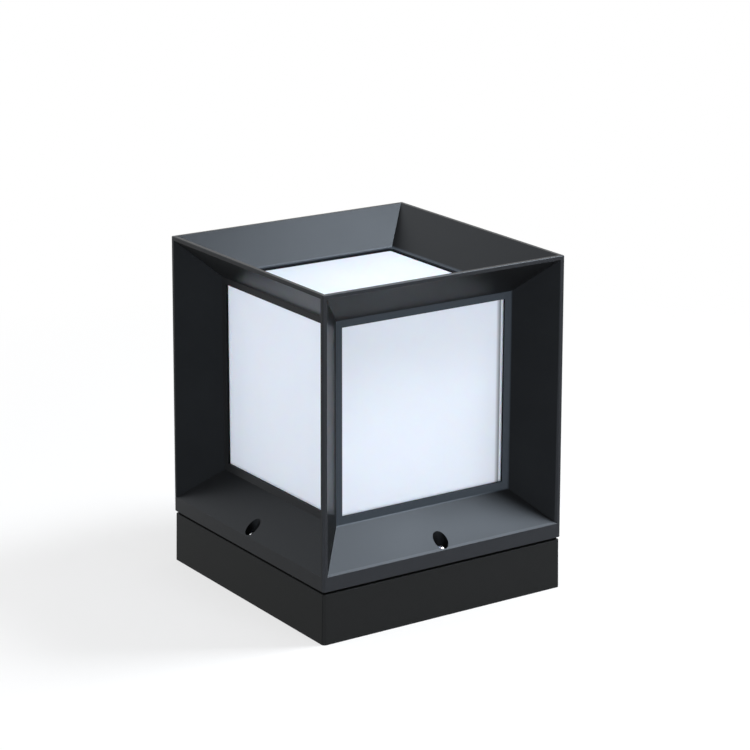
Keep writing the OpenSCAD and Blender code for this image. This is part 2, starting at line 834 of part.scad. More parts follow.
module bracket_outline() {
    low = floor_z;
    foot_end = bracket_leg + bracket_foot;
    polygon([
        [-foot_end, low], [-foot_end, low + bracket_t], [-bracket_leg, low + bracket_t],
        [-bracket_leg, bracket_top], [bracket_leg, bracket_top], [bracket_leg, low + bracket_t],
        [foot_end, low + bracket_t], [foot_end, low], [bracket_leg - bracket_t, low],
        [bracket_leg - bracket_t, bracket_top - bracket_t],
        [-bracket_leg + bracket_t, bracket_top - bracket_t], [-bracket_leg + bracket_t, low]
    ]);
}

module holder_bracket() {
    color("#b4b7ba")
        difference() {
            translate([-bracket_w / 2, 0, 0]) rotate([90, 0, 90])
                linear_extrude(bracket_w) bracket_outline();
            for (s = signs) {
                translate([0, s * bracket_screw_at, floor_z - over])
                    cylinder(h = bracket_t + 2 * over, r = small_screw_r + hole_gap / 2);
                translate([0, s * holder_screw_off, bracket_top - bracket_t - over])
                    cylinder(h = bracket_t + 2 * over, r = small_screw_r + hole_gap / 2);
                translate([s * terminal_off, 0, bracket_top - bracket_t - over])
                    cylinder(h = bracket_t + 2 * over, r = lead_hole_r);
            }
        }
}

module bracket_screws() {
    color("#c9ccd0")
        for (s = signs)
            translate([0, s * bracket_screw_at, floor_z + bracket_t])
                screw(small_screw_r, bracket_screw_l, small_head_r, small_head_h);
}

module holder_body() {
    skirt_h = holder_h * 0.3;
    neck_r = holder_r - 1.8;
    pocket = terminal_w + 2 * pocket_gap;
    color("#e9e6dc")
        difference() {
            translate([0, 0, holder_z])
                rotate_extrude()
                    polygon([
                        [0, 0], [holder_r - 1, 0], [holder_r, 1], [holder_r, skirt_h], [neck_r, skirt_h + 2],
                        [neck_r, holder_h - 1.5], [neck_r - 1.5, holder_h], [0, holder_h]
                    ]);
            translate([0, 0, well_floor]) cylinder(h = well_h + over, r = shell_r + shell_t + pocket_gap);
            for (s = signs) {
                translate([s * terminal_off - pocket / 2, -pocket / 2, holder_z - over])
                    cube([pocket, pocket, terminal_up + terminal_h + over]);
                translate([0, s * holder_screw_off, holder_z - over])
                    cylinder(h = holder_hole_l + over, r = small_screw_r + thread_gap);
            }
        }
}

module holder_shell() {
    color("#c9a24b")
        translate([0, 0, well_floor])
            difference() {
                cylinder(h = shell_l, r = shell_r + shell_t);
                translate([0, 0, shell_t]) cylinder(h = shell_l, r = shell_r);
                translate([0, 0, -over]) cylinder(h = shell_l, r = shell_r - 3);
            }
}

module holder_contact() {
    color("#c9a24b")
        translate([0, 0, well_floor])
            rotate_extrude()
                polygon([[0, 0], [5.5, 0], [5.5, contact_h * 0.4], [3.5, contact_h], [0, contact_h]]);
}

module holder_terminals() {
    color("#c9a24b")
        for (s = signs)
            translate([s * terminal_off - terminal_w / 2, -terminal_w / 2, terminal_z])
                cube([terminal_w, terminal_w, terminal_h]);
}

module holder_screws() {
    color("#c9ccd0")
        for (s = signs)
            translate([0, s * holder_screw_off, bracket_top - bracket_t])
                rotate([180, 0, 0])
                    screw(small_screw_r, holder_hole_l - 1 + bracket_t, small_head_r, small_head_h);
}

// Screw-in lamp

module lamp_cap() {
    color("#b9b8b0")
        translate([0, 0, sleeve_z])
            difference() {
                cylinder(h = lamp_cap_top - sleeve_z, r = lamp_cap_r);
                translate([0, 0, -over])
                    cylinder(h = lamp_cap_top - sleeve_z - 2 + over, r = lamp_cap_r - lamp_cap_wall);
            }
}

module lamp_insulator() {
    color("#141414")
        translate([0, 0, lamp_z + lamp_tip_h])
            rotate_extrude()
                polygon([
                    [0, 0], [lamp_tip_r + 0.8, 0], [lamp_cap_r - 0.8, insulator_h],
                    [lamp_cap_r - lamp_cap_wall - pocket_gap, insulator_h],
                    [lamp_cap_r - lamp_cap_wall - pocket_gap, insulator_h + 3], [0, insulator_h + 3]
                ]);
}

module lamp_tip() {
    color("#c9ccd0")
        translate([0, 0, lamp_z])
            rotate_extrude()
                polygon([[0, 0], [lamp_tip_r - 2, 0], [lamp_tip_r, lamp_tip_h], [0, lamp_tip_h]]);
}

// Profile of the opaque body: a bell that widens from the cap to the dome
module lamp_body() {
    steps = 10;
    color("#f4f4f2")
        translate([0, 0, lamp_cap_top])
            rotate_extrude()
                polygon(concat(
                    [[0, 0]],
                    [for (i = [0:steps])
                        let (t = i / steps)
                        [blend(lamp_cap_r + 0.4, lamp_body_r, (1 - cos(180 * pow(t, 0.85))) / 2), lamp_body_l * t]],
                    [[0, lamp_body_l]]
                ));
}

// Profile of the dome: a short bulge above its seam, closed by an ellipse
module lamp_dome() {
    steps = 14;
    seam_r = lamp_r - 0.6;
    bulge = dome_h * 0.36;
    color("#f7f8fb")
        translate([0, 0, dome_z])
            rotate_extrude()
                polygon(concat(
                    [[0, 0], [seam_r, 0]],
                    [for (i = [0:steps])
                        let (a = 90 * i / steps)
                        [i == steps ? 0 : lamp_r * cos(a), bulge + (dome_h - bulge) * sin(a)]]
                ));
}

// Terminal block

module terminal_block() {
    pocket = clamp_w + 2 * pocket_gap;
    color("#e8e4d8")
        difference() {
            translate([block_inner_x, -block_w / 2, floor_z]) cube([block_l, block_w, block_h]);
            for (y = pole_places) {
                translate([block_x - clamp_l / 2 - pocket_gap, y - pocket / 2, wire_z - pocket / 2])
                    cube([clamp_l + 2 * pocket_gap, pocket, pocket]);
                translate([block_inner_x - over, y, wire_z]) rotate([0, 90, 0])
                    cylinder(h = block_l + 2 * over, r = lead_r + 0.5);
                for (s = signs)
                    translate([block_x + s * clamp_screw_off, y, wire_z])
                        cylinder(h = block_h, r = block_screw_r + 0.9);
            }
            for (s = signs)
                translate([block_x, s * pole_pitch / 2, floor_z - over]) {
                    cylinder(h = block_h + 2 * over, r = block_screw_r + hole_gap / 2);
                    translate([0, 0, block_h - block_fix_head_h + over])
                        cylinder(h = block_fix_head_h + over, r = 1.9 * block_screw_r);
                }
            for (s = signs)
                translate([block_inner_x - over, s * pole_pitch / 2 - 0.6, floor_z + block_h - 1.5])
                    cube([block_l + 2 * over, 1.2, 1.5 + over]);
        }
}

module terminal_clamps() {
    color("#c9a24b")
        for (y = pole_places)
            difference() {
                translate([block_x - clamp_l / 2, y - clamp_w / 2, wire_z - clamp_w / 2])
                    cube([clamp_l, clamp_w, clamp_w]);
                for (s = signs) {
                    translate([block_x + s * clamp_l / 2, y, wire_z]) rotate([0, 90, 0])
                        cylinder(h = 2 * clamp_bore_l, r = lead_r + lead_gap, center = true);
                    translate([block_x + s * clamp_screw_off, y, wire_z])
                        cylinder(h = clamp_w, r = block_screw_r + thread_gap);
                }
            }
}

module terminal_screws() {
    color("#c9ccd0")
        for (y = pole_places, s = signs)
            translate([block_x + s * clamp_screw_off, y, wire_z + lead_r])
                difference() {
                    cylinder(h = clamp_screw_l, r = block_screw_r);
                    translate([-block_screw_r - over, -0.3, clamp_screw_l - 0.8])
                        cube([2 * block_screw_r + 2 * over, 0.6, 0.8 + over]);
                }
}

module block_screws() {
    color("#c9ccd0")
        for (s = signs)
            translate([block_x, s * pole_pitch / 2, floor_z + block_h - block_fix_head_h])
                screw(
                    block_screw_r, block_h - block_fix_head_h + floor_z - rib_gap - 2,
                    1.75 * block_screw_r, block_fix_head_h
                );
}

// Earth point

module earth_tag() {
    color("#c9ccd0")
        difference() {
            union() {
                translate([earth_x, -earth_y, earth_seat_z]) cylinder(h = tag_t, r = tag_r);
                translate([earth_x - tag_barrel_out - 1, -earth_y - tag_barrel_r, earth_seat_z])
                    cube([tag_barrel_out + 1, 2 * tag_barrel_r, tag_t]);
                translate([tag_barrel_x, -earth_y, tag_barrel_z]) rotate([0, 90, 0])
                    cylinder(h = tag_barrel_l, r = tag_barrel_r);
                translate([tag_barrel_x + tag_barrel_l - 1, -earth_y - 1, earth_seat_z])
                    cube([1, 2, tag_barrel_z - earth_seat_z]);
            }
            translate([earth_x, -earth_y, earth_seat_z - over])
                cylinder(h = tag_t + 2 * over, r = small_screw_r + thread_gap);
            translate([tag_barrel_x - over, -earth_y, tag_barrel_z]) rotate([0, 90, 0])
                cylinder(h = tag_bore_l + over, r = lead_r + lead_gap);
        }
}

module earth_washer() {
    teeth = 12;
    color("#c9ccd0")
        translate([earth_x, -earth_y, earth_seat_z + tag_t])
            difference() {
                cylinder(h = tooth_washer_t, r = tag_r - 0.2);
                for (i = [0:teeth - 1])
                    rotate([0, 0, i * 360 / teeth]) translate([tag_r - 0.9, -0.25, -over])
                        cube([over, 0.5, tooth_washer_t + 2 * over]);
                translate([0, 0, -over])
                    cylinder(h = tooth_washer_t + 2 * over, r = small_screw_r + thread_gap);
            }
}

module earth_screw() {
    color("#c9a24b")
        translate([earth_x, -earth_y, earth_seat_z + tag_t + tooth_washer_t])
            screw(small_screw_r, 8, small_head_r, small_head_h);
}

// Inner leads

module live_lead() {
    color("#7a4a2a") tube(live_route, lead_r);
}

module neutral_lead() {
    color("#2f5fa8") tube(neutral_route, lead_r);
}

module earth_lead() {
    color("#5f9a3a") tube(earth_route, lead_r);
}

base_housing();
joint_gasket();
cube_frame();
diffuser();
diffuser_gasket();
diffuser_retainer();
retainer_screws();
frame_screws();
frame_washers();
gland_body();
gland_washer();
gland_seal();
gland_cap();
gland_locknut();
holder_bracket();
bracket_screws();
holder_body();
holder_shell();
holder_contact();
holder_terminals();
holder_screws();
lamp_cap();
lamp_insulator();
lamp_tip();
lamp_body();
lamp_dome();
terminal_block();
terminal_clamps();
terminal_screws();
block_screws();
earth_screw();
earth_washer();
earth_tag();
live_lead();
neutral_lead();
earth_lead();
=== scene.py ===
import math

import bmesh
import bpy
from mathutils import Euler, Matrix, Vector


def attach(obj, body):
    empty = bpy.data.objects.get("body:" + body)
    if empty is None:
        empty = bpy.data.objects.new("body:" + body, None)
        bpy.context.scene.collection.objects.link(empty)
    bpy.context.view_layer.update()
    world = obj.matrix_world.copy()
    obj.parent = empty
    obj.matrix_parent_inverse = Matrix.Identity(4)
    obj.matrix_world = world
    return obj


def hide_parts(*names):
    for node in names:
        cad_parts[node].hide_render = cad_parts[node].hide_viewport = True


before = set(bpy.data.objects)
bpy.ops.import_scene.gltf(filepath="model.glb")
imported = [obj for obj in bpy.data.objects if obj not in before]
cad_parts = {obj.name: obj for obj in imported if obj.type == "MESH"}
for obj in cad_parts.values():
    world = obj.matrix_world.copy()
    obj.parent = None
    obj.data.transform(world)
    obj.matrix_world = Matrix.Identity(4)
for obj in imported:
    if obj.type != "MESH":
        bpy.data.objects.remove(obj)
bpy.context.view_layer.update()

# The looks of a square pillar light: black castings, an opal diffuser and bright screws, and the
# lampholder, lamp and wiring that show when the frame is lifted off. Metres, as in the frame.

MM = 0.001
TURN = 2 * math.pi

# Planes of the cube frame that its coat tells apart for its painted reflections and rougher reveals, in
# millimetres from the middle or the floor
OUTER_PLANE = 98.5
LIP_PLANE = 73.25
ROOF_LIP_PLANE = 217.7

# Half the diffuser's width across its sides, and where the painted shade line by its corners is darkest, in
# millimetres
DIFFUSER_SIDE = 69.5
PAINTED_SHADE_LINE = 64.65


def span(node):
    """The low and high corner of a CAD node in millimetres, rounded outward past its circles' flats."""
    step, slack = 0.025, 0.04
    points = [vertex.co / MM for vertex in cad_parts[node].data.vertices]
    low = [math.floor(min(p[i] for p in points) / step + slack) * step for i in range(3)]
    high = [math.ceil(max(p[i] for p in points) / step - slack) * step for i in range(3)]
    return low, high


# Camera

CAMERA_PLACE = (-0.99618, -1.49210, 0.68269)
CAMERA_TURN = (73.4260, -0.1472, -33.9080)
CAMERA_LENS = 127.34

camera_data = bpy.data.cameras.new("camera")
camera_data.lens = CAMERA_LENS
camera_data.sensor_width = 36
camera_data.clip_end = 50
camera = bpy.data.objects.new("camera", camera_data)
camera.location = CAMERA_PLACE
camera.rotation_euler = Euler([math.radians(a) for a in CAMERA_TURN])
bpy.context.collection.objects.link(camera)
bpy.context.scene.camera = camera
bpy.context.scene.view_settings.view_transform = "Standard"


# Node trees, written as Python expressions

class Value:
    """A socket that takes part in Python expressions."""

    def __init__(self, tree, socket):
        self.tree = tree
        self.socket = socket

    def math(self, operation, *others, clamp=False):
        inputs = dict(enumerate((self, *others)))
        return self.tree.node("ShaderNodeMath", {"operation": operation, "use_clamp": clamp}, inputs)

    def __add__(self, other):
        return self.math("ADD", other)

    def __sub__(self, other):
        return self.math("SUBTRACT", other)

    def __rsub__(self, other):
        return (self * -1) + other

    def __mul__(self, other):
        return self.math("MULTIPLY", other)

    def __truediv__(self, other):
        return self.math("DIVIDE", other)

    def __pow__(self, other):
        return self.math("POWER", other)

    __radd__ = __add__
    __rmul__ = __mul__

    def band(self, low, high):
        """0 below low, 1 above high, and a straight climb between."""
        return ((self - low) / (high - low)).math("ADD", 0.0, clamp=True)

    def around(self, plane, start, full, last, end):
        """1 from full before the plane to last after it, 0 past start and end, all in millimetres."""
        rise = self.band((plane - start) * MM, (plane - full) * MM)
        return rise * (1 - self.band((plane + last) * MM, (plane + end) * MM))


class Tree:
    """Any node comes from node(): its type, its settings, and the values or links of its inputs."""

    def node(self, kind, settings, inputs, output=0):
        made = self.nodes.new(kind)
        for name, value in settings.items():
            setattr(made, name, value)
        for key, given in inputs.items():
            for value in given if isinstance(given, list) else [given]:
                if isinstance(value, Value):
                    self.links.new(value.socket, made.inputs[key])
                else:
                    made.inputs[key].default_value = value
        return Value(self, made.outputs[output])

    def vector(self, x=0.0, y=0.0, z=0.0):
        return self.node("ShaderNodeCombineXYZ", {}, {0: x, 1: y, 2: z})

    def axes(self, vector):
        split = self.node("ShaderNodeSeparateXYZ", {}, {0: vector}).socket.node
        return [Value(self, output) for output in split.outputs]


class Finish(Tree):
    """A material whose Principled shader is fed by expressions. Fixed numbers sit on its sockets."""

    def __init__(self, name, color, roughness, **fixed):
        self.material = bpy.data.materials.new(name)
        self.material.use_nodes = True
        self.nodes = self.material.node_tree.nodes
        self.links = self.material.node_tree.links
        self.shader = self.nodes["Principled BSDF"]
        self.color = color
        self.shader.inputs["Base Color"].default_value = (*color, 1)
        self.shader.inputs["Roughness"].default_value = roughness
        for key, value in fixed.items():
            self.shader.inputs[key.replace("_", " ")].default_value = value

    def place(self):
        return self.node("ShaderNodeTexCoord", {}, {}, "Object")

    def stretched(self, scale):
        return self.node("ShaderNodeMapping", {}, {"Vector": self.place(), "Scale": scale})

    def noise(self, scale, detail=2.0, rough=0.5, at=None):
        inputs = {"Vector": at or self.place(), "Scale": scale, "Detail": detail, "Roughness": rough}
        return self.node("ShaderNodeTexNoise", {}, inputs, "Fac")

    def attribute(self, name):
        return self.node("ShaderNodeAttribute", {"attribute_name": name}, {}, "Fac")

    def mix(self, factor, a, b):
        a, b = [v if isinstance(v, Value) else (*v, 1) for v in (a, b)]
        return self.node("ShaderNodeMix", {"data_type": "RGBA"}, {0: factor, 6: a, 7: b}, 2)

    def feed(self, socket, value):
        self.links.new(value.socket, self.shader.inputs[socket])

    def tones(self, factor, dark, light):
        """A colour between two multiples of the written colour."""
        return self.mix(factor, *[tuple(min(c * k, 1) for c in self.color) for k in (dark, light)])

    def shade(self, factor, dark, light):
        self.feed("Base Color", self.tones(factor, dark, light))

    def bump(self, height, depth, strength=1.0):
        inputs = {"Height": height, "Distance": depth, "Strength": strength}
        self.feed("Normal", self.node("ShaderNodeBump", {}, inputs))


# Finishes

def powder_coat(name, color, roughness, gloss, front_painted_sheen, lip_painted_sheen=None):
    """Satin powder coat over a casting: fine orange peel, slightly uneven gloss and a cool sheen.

    The outer faces at the front and back are painted lighter, a painted reflection, and the lips of
    their windows and of the top window painted paler, a painted reflection too.
    """
    coat = Finish(name, color, roughness, Specular_IOR_Level=gloss, Specular_Tint=(0.76, 0.87, 1, 1))
    peel = coat.noise(1400, 2, 0.6)
    cloud = coat.noise(22, 3, 0.55)
    tone = coat.tones(cloud.band(0.3, 0.7), 0.85, 1.2)
    rough = cloud * 0.06 + peel * 0.06 + (roughness - 0.06)
    x, y, z = coat.axes(coat.place())
    side, front = x.math("ABSOLUTE"), y.math("ABSOLUTE")
    reach = side.math("MAXIMUM", front)
    # Painted reflection: the outer faces at the front and back are painted lighter than the sides
    tone = coat.mix(front.band((OUTER_PLANE - 0.3) * MM, OUTER_PLANE * MM), tone, front_painted_sheen)
    # Painted reflection: the window lips at the front and back and round the top window are painted paler
    if lip_painted_sheen:
        below_roof = 1 - z.band((ROOF_LIP_PLANE - 1.7) * MM, (ROOF_LIP_PLANE - 1.2) * MM)
        within_lips = 1 - side.band((LIP_PLANE - 0.25) * MM, (LIP_PLANE + 0.15) * MM)
        lip_sheen = front.around(LIP_PLANE, 0.35, 0.25, 0.25, 0.95) * within_lips * below_roof
        within_roof = 1 - reach.band((LIP_PLANE - 1.75) * MM, (LIP_PLANE - 1.25) * MM)
        roof_lip_sheen = z.around(ROOF_LIP_PLANE, 0.4, 0.2, 0.3, 0.9) * within_roof
        tone = coat.mix(lip_sheen.math("MAXIMUM", roof_lip_sheen), tone, lip_painted_sheen)
        rough = rough + reach.around(LIP_PLANE - 1.3, 0.95, 0.85, 0.85, 0.95) * below_roof * 0.6
    coat.feed("Base Color", tone)
    coat.feed("Roughness", rough)
    coat.bump(peel + coat.noise(260, 2) * 0.6, 0.03 * MM, 0.6)
    return coat.material


def opal(name, color, roughness, milk, painted_corner_shade=None):
    """Opal plastic: smooth, faintly cloudy, with light let a little way in.

    The last argument sets the strength of a painted shade line down the right end of each side, where the
    sheet turns to its corner.
    """
    sheet = Finish(name, color, roughness, Subsurface_Weight=milk, Subsurface_Scale=2 * MM)
    cloud = sheet.noise(14, 2, 0.5)
    tone = sheet.tones(cloud.band(0.3, 0.7), 0.985, 1.01)
    if painted_corner_shade:
        x, y, z = sheet.axes(sheet.place())
        start, full = (DIFFUSER_SIDE - 0.5) * MM, DIFFUSER_SIDE * MM
        on_side, on_front = [v.math("ABSOLUTE").band(start, full) for v in (x, y)]
        across = y * x.math("SIGN") * on_side - x * y.math("SIGN") * on_front
        # Painted shade: the line where the sheet turns away from the light is darkened in its colour
        line = across.around(PAINTED_SHADE_LINE, 3.25, 0.45, 0.45, 0.95)
        tone = sheet.mix(line * painted_corner_shade, tone, (0, 0, 0))
    sheet.feed("Base Color", tone)
    sheet.feed("Roughness", cloud * 0.06 + (roughness - 0.03))
    sheet.bump(sheet.noise(60, 2), 0.02 * MM, 0.4)
    return sheet.material


def rubber(name, color, gloss=0.3):
    """Moulded rubber or silicone with a fine matt grain."""
    seal = Finish(name, color, 0.75, Specular_IOR_Level=gloss)
    grain = seal.noise(900, 3, 0.6)
    seal.shade(grain, 0.8, 1.25)
    seal.bump(grain, 0.05 * MM, 0.5)
    return seal.material


def moulded(name, color, roughness, grain_scale=700, grain=0.04):
    """Moulded plastic with a fine spark texture and faint flow marks."""
    shell = Finish(name, color, roughness)
    spark = shell.noise(grain_scale, 3, 0.6)
    flow = shell.noise(40, 2, 0.5, shell.stretched((1, 1, 0.2)))
    shell.shade(flow.band(0.3, 0.7), 0.93, 1.05)
    shell.feed("Roughness", spark * 0.12 + (roughness - 0.06))
    shell.bump(spark, grain * MM, 0.6)
    return shell.material


def turned_metal(name, color, roughness):
    """Turned metal: fine rings round each screw's own axis, from its 'ring' attribute."""
    metal = Finish(name, color, roughness, Metallic=1.0)
    ring = (metal.attribute("ring") * (TURN / (0.22 * MM))).math("SINE") * 0.5 + 0.5
    smear = metal.noise(400, 3, 0.6)
    metal.shade(smear, 0.82, 1.08)
    metal.feed("Roughness", ring * 0.07 + smear * 0.08 + (roughness - 0.07))
    metal.bump(ring, 0.01 * MM, 0.5)
    return metal.material


def plated_sheet(name, color):
    """Zinc-plated sheet with its frost of crystals and rolling marks."""
    metal = Finish(name, color, 0.38, Metallic=1.0)
    crystals = metal.node("ShaderNodeTexVoronoi", {}, {"Vector": metal.place(), "Scale": 170.0}, "Color")
    tone = metal.axes(crystals)[0]
    rolled = metal.noise(500, 2, 0.5, metal.stretched((1, 0.03, 1)))
    metal.shade(tone, 0.84, 1.08)
    metal.feed("Roughness", tone * 0.12 + rolled * 0.08 + 0.26)
    metal.bump(rolled, 0.01 * MM, 0.4)
    return metal.material


def plain_metal(name, color, roughness, tarnish=(0.75, 1.1)):
    """Pressed or drawn metal, lightly tarnished."""
    metal = Finish(name, color, roughness, Metallic=1.0)
    patch = metal.noise(160, 4, 0.6)
    metal.shade(patch.band(0.25, 0.75), *tarnish)
    metal.feed("Roughness", patch * 0.18 + (roughness - 0.09))
    metal.bump(metal.noise(900, 2, 0.5), 0.01 * MM, 0.4)
    return metal.material


def glazed(name, color):
    """Glazed porcelain: a slow ripple in the glaze and a few fine specks."""
    glaze = Finish(name, color, 0.18, Coat_Weight=0.4)
    speck = glaze.noise(1300, 1, 0.5).band(0.78, 0.82)
    glaze.shade(1 - speck, 0.55, 1.0)
    glaze.feed("Roughness", glaze.noise(90, 2) * 0.1 + 0.14)
    glaze.bump(glaze.noise(110, 2), 0.06 * MM, 0.4)
    return glaze.material


def insulation(name, color, stripe=None):
    """Soft cable insulation, with a second colour along the lead where it has one."""
    skin = Finish(name, color, 0.45)
    grain = skin.noise(1100, 2, 0.5)
    skin.feed("Roughness", grain * 0.15 + 0.38)
    if stripe:
        around = skin.axes(skin.node("ShaderNodeUVMap", {"uv_map": "lead"}, {}))[0]
        edge = (around * TURN).math("COSINE").band(0.1, 0.2)
        skin.feed("Base Color", skin.mix(edge, color, stripe))
    else:
        skin.shade(grain, 0.9, 1.1)
    skin.bump(grain, 0.03 * MM, 0.4)
    return skin.material


# The last colours of each coat are painted reflection: lighter front and back faces, and on the frame paler
# window lips
black_coat = powder_coat(
    "black powder coat", (0.0062, 0.0066, 0.0072), 0.33, 0.12, (0.025, 0.026, 0.029), (0.043, 0.052, 0.064))
base_coat = powder_coat(
    "black powder coat on the base", (0.0050, 0.0052, 0.0046), 0.38, 0.08, (0.0145, 0.0145, 0.014))
# The opal sheet's last number is the strength of its painted corner shade
opal_sheet = opal("opal diffuser sheet", (0.80, 0.85, 0.95), 0.32, 0.2, 0.72)
opal_dome = opal("opal lamp dome", (0.86, 0.87, 0.90), 0.4, 0.3)
black_rubber = rubber("black rubber", (0.012, 0.012, 0.012))
foam_rubber = rubber("black foam rubber", (0.003, 0.003, 0.003), 0.02)
pale_silicone = rubber("pale silicone", (0.55, 0.55, 0.52))
bright_steel = turned_metal("bright stainless steel", (0.78, 0.79, 0.80), 0.22)
zinc_steel = turned_metal("zinc-plated steel", (0.62, 0.64, 0.67), 0.3)
brass_turned = turned_metal("turned brass", (0.72, 0.52, 0.22), 0.28)
zinc_sheet = plated_sheet("zinc-plated sheet", (0.60, 0.62, 0.65))
tinned = plain_metal("tinned copper", (0.66, 0.64, 0.61), 0.35)
nickelled = plain_metal("nickelled cap sheet", (0.68, 0.66, 0.62), 0.25)
brass = plain_metal("plain brass", (0.72, 0.52, 0.22), 0.3)
porcelain = glazed("glazed porcelain", (0.80, 0.78, 0.71))
black_nylon = moulded("black nylon", (0.02, 0.02, 0.021), 0.45)
block_plastic = moulded("off-white block plastic", (0.72, 0.70, 0.62), 0.5)
lamp_plastic = moulded("white lamp plastic", (0.80, 0.80, 0.79), 0.35, 500, 0.02)
black_glass = moulded("black insulator glass", (0.01, 0.01, 0.011), 0.15, 300, 0.01)
brown_skin = insulation("brown insulation", (0.11, 0.045, 0.02))
blue_skin = insulation("blue insulation", (0.02, 0.10, 0.32))
earth_skin = insulation("green and yellow insulation", (0.62, 0.55, 0.02), (0.03, 0.22, 0.03))


# Pieces

def smoothed(mesh, crease):
    """Smooth shading up to the angle crease, in degrees."""
    mesh.shade_smooth()
    mesh.set_sharp_from_angle(angle=math.radians(crease))
    return mesh


def dressed(mesh, material, body, node):
    """A finished piece, named after its node: its material, its body and its place in the record."""
    mesh.materials.clear()
    mesh.materials.append(material)
    piece = bpy.data.objects.new(node.replace("_", "-"), mesh)
    bpy.context.collection.objects.link(piece)
    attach(piece, body)
    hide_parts(node)


def evaluated(piece, modifiers):
    """A plain mesh of piece with the modifiers applied. piece itself is removed."""
    for kind, settings in modifiers:
        modifier = piece.modifiers.new(kind.lower(), kind)
        for key, value in settings.items():
            setattr(modifier, key, value)
    graph = bpy.context.evaluated_depsgraph_get()
    mesh = bpy.data.meshes.new_from_object(piece.evaluated_get(graph))
    bpy.data.objects.remove(piece)
    return mesh


def joined_copy(node):
    """A CAD node's loose triangles as one closed mesh with its flat faces whole."""
    shell = bmesh.new()
    shell.from_mesh(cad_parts[node].data)
    bmesh.ops.remove_doubles(shell, verts=shell.verts, dist=0.002 * MM)
    bmesh.ops.dissolve_limit(shell, angle_limit=math.radians(0.5), verts=shell.verts, edges=shell.edges)
    mesh = bpy.data.meshes.new(node)
    shell.to_mesh(mesh)
    shell.free()
    copy = bpy.data.objects.new(node + " copy", mesh)
    bpy.context.collection.objects.link(copy)
    return copy


def softened(node, material, body, width, segments=2):
    """A CAD node with its sharp edges rounded, as casting and moulding leave them."""
    rounding = {
        "width": width, "segments": segments, "limit_method": "ANGLE",
        "angle_limit": math.radians(32), "use_clamp_overlap": True, "harden_normals": False,
    }
    copy = joined_copy(node)
    smoothed(copy.data, 35)
    mesh = evaluated(copy, [("BEVEL", rounding), ("WEIGHTED_NORMAL", {"keep_sharp": True, "weight": 75})])
    dressed(mesh, material, body, node)


def smooth_piece(mesh, material, body, node, crease=35):
    """A piece made here, smooth but for its edges."""
    dressed(smoothed(mesh, crease), material, body, node)


def on_circle(radius, turn, z):
    return radius * math.cos(TURN * turn), radius * math.sin(TURN * turn), z


def plain_mesh(shell, name):
    """The shell as a mesh, its faces turned outward."""
    bmesh.ops.recalc_face_normals(shell, faces=shell.faces)
    mesh = bpy.data.meshes.new(name)
    shell.to_mesh(mesh)
    shell.free()
    return mesh


def lathe(profile, sides=64):
    """A closed turned solid about the axis from (radius, height) pairs that start and end on it."""
    shell = bmesh.new()
    rings = []
    for radius, height in profile:
        if radius == 0:
            rings.append([shell.verts.new((0, 0, height))])
            continue
        rings.append([shell.verts.new(on_circle(radius, i / sides, height)) for i in range(sides)])
    for low, high in zip(rings, rings[1:]):
        for i in range(sides):
            j = (i + 1) % sides
            if len(low) == 1:
                shell.faces.new((low[0], high[j], high[i]))
            elif len(high) == 1:
                shell.faces.new((low[i], low[j], high[0]))
            else:
                shell.faces.new((low[i], low[j], high[j], high[i]))
    return plain_mesh(shell, "turned")


def tube_wall(inner, outer, z0, z1, rows, sides=72):
    """A closed tube: inner and outer give the radius for an angle in turns and a height share."""
    shell = bmesh.new()
    rings = []
    for face in (outer, inner):
        for row in range(rows + 1):
            share = row / rows if face is outer else 1 - row / rows
            z = z0 + (z1 - z0) * share
            turns = [i / sides for i in range(sides)]
            rings.append([shell.verts.new(on_circle(face(turn, share), turn, z)) for turn in turns])
    for low, high in zip(rings, rings[1:] + rings[:1]):
        for i in range(sides):
            j = (i + 1) % sides
            shell.faces.new((low[i], low[j], high[j], high[i]))
    return plain_mesh(shell, "threaded tube")


def thread_wave(turn, height, pitch):
    """Round thread form, from 0 in the root to 1 on the crest."""
    return 0.5 - 0.5 * math.cos(TURN * (height / pitch - turn))


# Screws, one Geometry Nodes tree for every set

class Growth(Tree):
    """A Geometry Nodes tree with named inputs for its sizes."""

    def __init__(self, name, sizes):
        self.group = bpy.data.node_groups.new(name, "GeometryNodeTree")
        self.nodes, self.links = self.group.nodes, self.group.links
        interface = self.group.interface
        interface.new_socket("Geometry", in_out="OUTPUT", socket_type="NodeSocketGeometry")
        interface.new_socket("Geometry", in_out="INPUT", socket_type="NodeSocketGeometry")
        self.identifiers = {
            label: interface.new_socket(label, in_out="INPUT", socket_type=kind).identifier
            for label, kind in sizes.items()
        }
        self.start = self.nodes.new("NodeGroupInput")
        self.end = self.nodes.new("NodeGroupOutput")

    def given(self, label):
        return Value(self, self.start.outputs[label])

    def finished(self, shape):
        self.links.new(shape.socket, self.end.inputs[0])

    def grown(self, places, sizes):
        """A plain mesh of the tree's shape at the places."""
        seeds = bpy.data.meshes.new("places")
        seeds.from_pydata(places, [], [])
        carrier = bpy.data.objects.new("places", seeds)
        bpy.context.collection.objects.link(carrier)
        modifier = carrier.modifiers.new("tree", "NODES")
        modifier.node_group = self.group
        for label, value in sizes.items():
            modifier[self.identifiers[label]] = value
        return evaluated(carrier, [])


